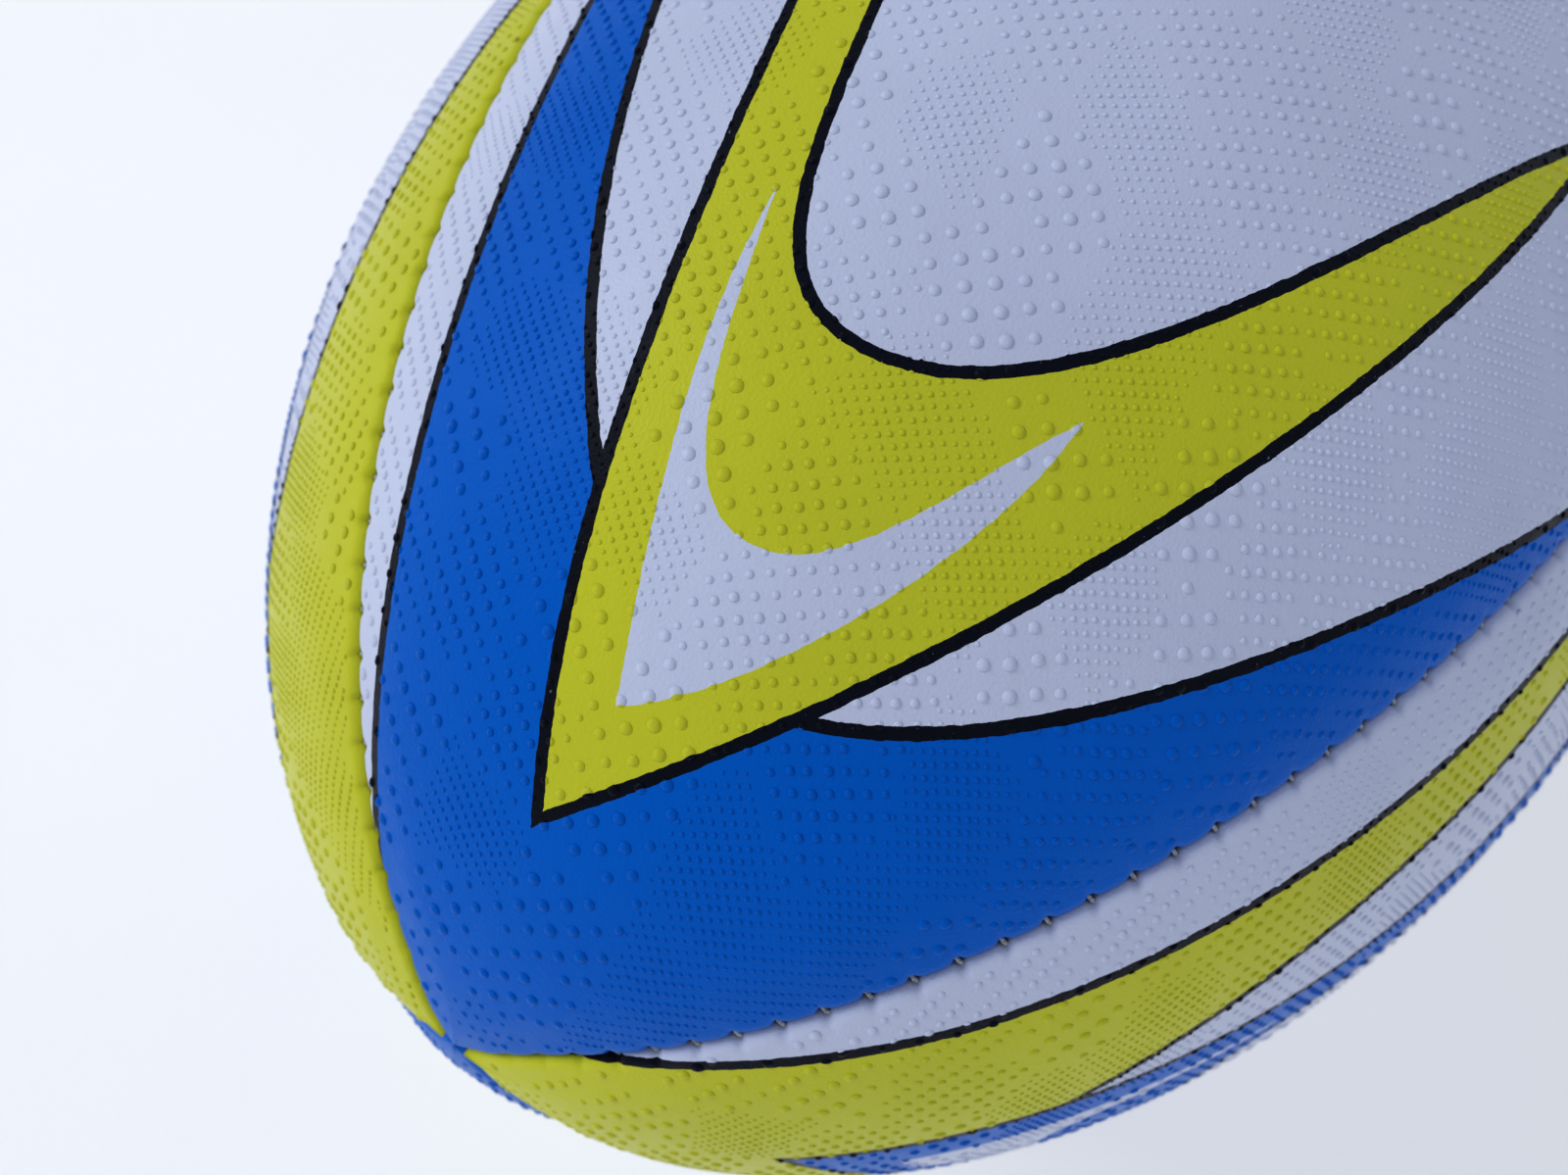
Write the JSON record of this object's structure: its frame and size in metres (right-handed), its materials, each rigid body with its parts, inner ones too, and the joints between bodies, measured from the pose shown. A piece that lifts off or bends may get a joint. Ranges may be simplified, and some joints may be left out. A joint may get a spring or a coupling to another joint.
{
  "type": "rugby ball",
  "caption": "Oval ball of printed, pimpled rubber panels on cloth plies, stitched edge to edge around a bladder with a push-in needle valve.",
  "frame": {"origin": "centre of the ball, on its long axis at mid-length", "axes": "+X along the ball from tip to tip, +Y out through the middle of the panel that holds the valve, +Z out through the middle of the next panel, a quarter turn round"},
  "size_m": [0.2898, 0.19, 0.19],
  "materials": {
    "cover_blue": "satin printed rubber with moulded pimples",
    "cover_lime": "satin printed rubber with moulded pimples",
    "ply_cloth": "plain-woven polyester-cotton",
    "thread": "waxed twisted polyester",
    "bladder_rubber": "matt, lightly talced",
    "valve_rubber": "satin moulded",
    "patch_rubber": "matt",
    "plug_rubber": "smooth moulded"
  },
  "bodies": {
    "ball": {"cover_panel_top": "cover_blue", "cover_panel_left": "cover_lime", "cover_panel_bottom": "cover_blue", "cover_panel_right": "cover_lime", "outer_ply_top": "ply_cloth", "outer_ply_left": "ply_cloth", "outer_ply_bottom": "ply_cloth", "outer_ply_right": "ply_cloth", "inner_ply_top": "ply_cloth", "inner_ply_left": "ply_cloth", "inner_ply_bottom": "ply_cloth", "inner_ply_right": "ply_cloth", "seam_thread_top_left": "thread", "seam_thread_left_bottom": "thread", "seam_thread_bottom_right": "thread", "seam_thread_right_top": "thread", "bladder": "bladder_rubber", "valve_body": "valve_rubber", "valve_patch": "patch_rubber"},
    "valve_plug": {"valve_plug": "plug_rubber"}
  },
  "joints": [
    {"name": "valve_plug_slide", "type": "slide", "parent": "ball", "child": "valve_plug", "axis": [0, 1, 0], "range_m": [0, 0.022]}
  ]
}
